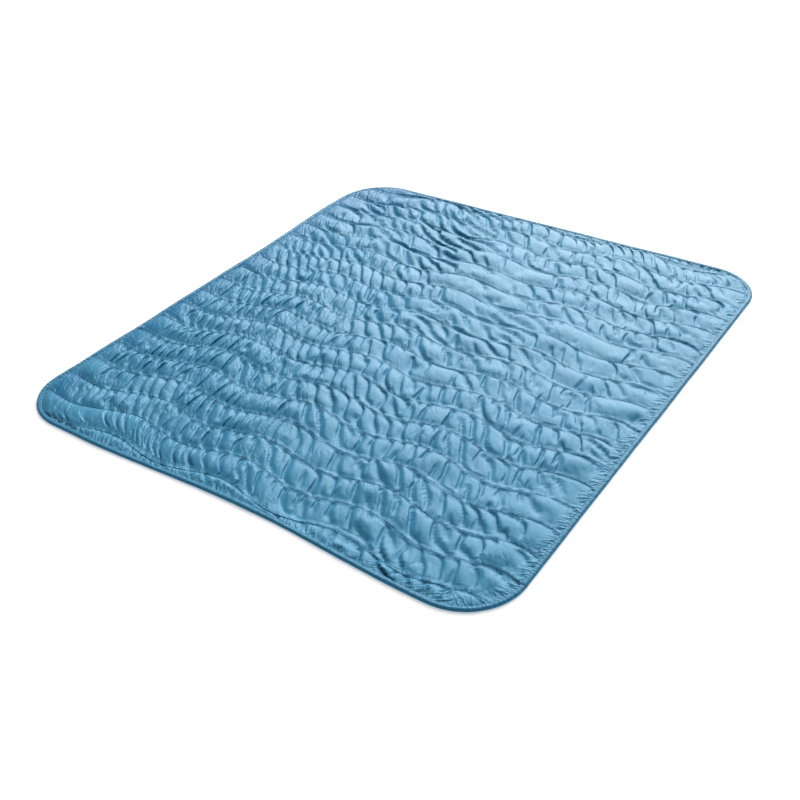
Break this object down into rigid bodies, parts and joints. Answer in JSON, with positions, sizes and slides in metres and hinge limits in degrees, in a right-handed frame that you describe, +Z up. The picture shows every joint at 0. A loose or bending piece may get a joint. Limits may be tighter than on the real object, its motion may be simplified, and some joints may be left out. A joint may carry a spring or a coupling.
{
  "type": "quilted picnic blanket",
  "caption": "Padded picnic blanket with rounded corners, lying flat: puffed fill held by wavy seams, and a narrow tape folded round the rim.",
  "frame": {"origin": "middle of the blanket's underside, at the centre of its bounding box", "axes": "+Z up, out of the quilted face; +Y along the longer edges; +X along the shorter edges and the seams"},
  "size_m": [1.31, 1.5194, 0.0154],
  "materials": {
    "shell_cloth": "satin woven polyester, pale blue",
    "binding_tape": "folded woven tape, mid blue"
  },
  "bodies": {
    "root": {"quilt": "shell_cloth", "binding": "binding_tape"}
  },
  "joints": []
}
